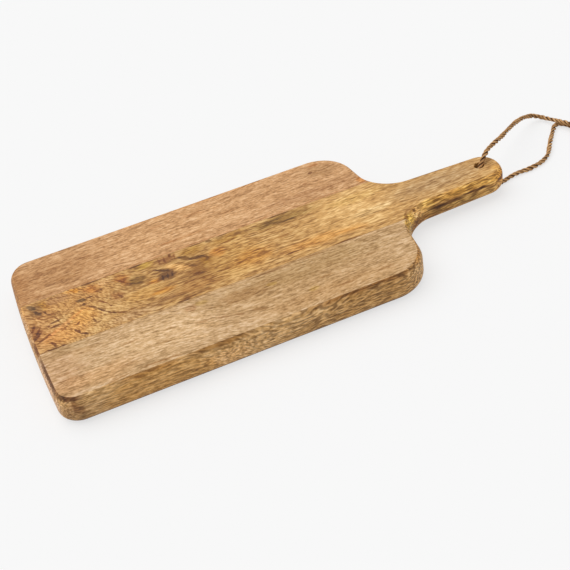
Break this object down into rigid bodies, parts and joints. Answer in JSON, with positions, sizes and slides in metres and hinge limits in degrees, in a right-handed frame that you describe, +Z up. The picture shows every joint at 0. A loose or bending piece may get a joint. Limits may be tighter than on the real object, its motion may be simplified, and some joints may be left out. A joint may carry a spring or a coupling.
{
  "type": "paddle serving board",
  "caption": "Wooden paddle board for serving cheese and cold cuts, with softly rounded edges, a narrow handle drilled near its tip and a loop of twine to hang it by",
  "frame": {"origin": "the middle of the board's length and width, at the flat underside of the serving area", "axes": "+X along the board to the tip of the handle, +Y to the far edge, +Z up out of the serving face"},
  "size_m": [0.5258, 0.1864, 0.0336],
  "materials": {
    "wood_far": "oiled hardwood, pinkish tan, straight grain with short dark pores, satin",
    "wood_middle": "oiled hardwood, golden tan with a swirling figure and dark streaks, satin",
    "wood_near": "oiled hardwood, pale beige tan, straight grain with short dark pores, satin",
    "glue": "cured wood glue, dark thin line",
    "twine": "twisted jute, matte, slightly hairy"
  },
  "bodies": {
    "board": {"stave_far": "wood_far", "stave_middle": "wood_middle", "stave_near": "wood_near", "glue_line_far": "glue", "glue_line_near": "glue"},
    "hanging_loop": {"twine_loop": "twine", "twine_knot": "twine"}
  },
  "joints": [
    {"name": "loop_swing", "type": "hinge", "parent": "board", "child": "hanging_loop", "pos_m": [0.18975, 0.002, 0.0125], "axis": [0, 0, 1], "range_deg": [-90, 45]}
  ]
}
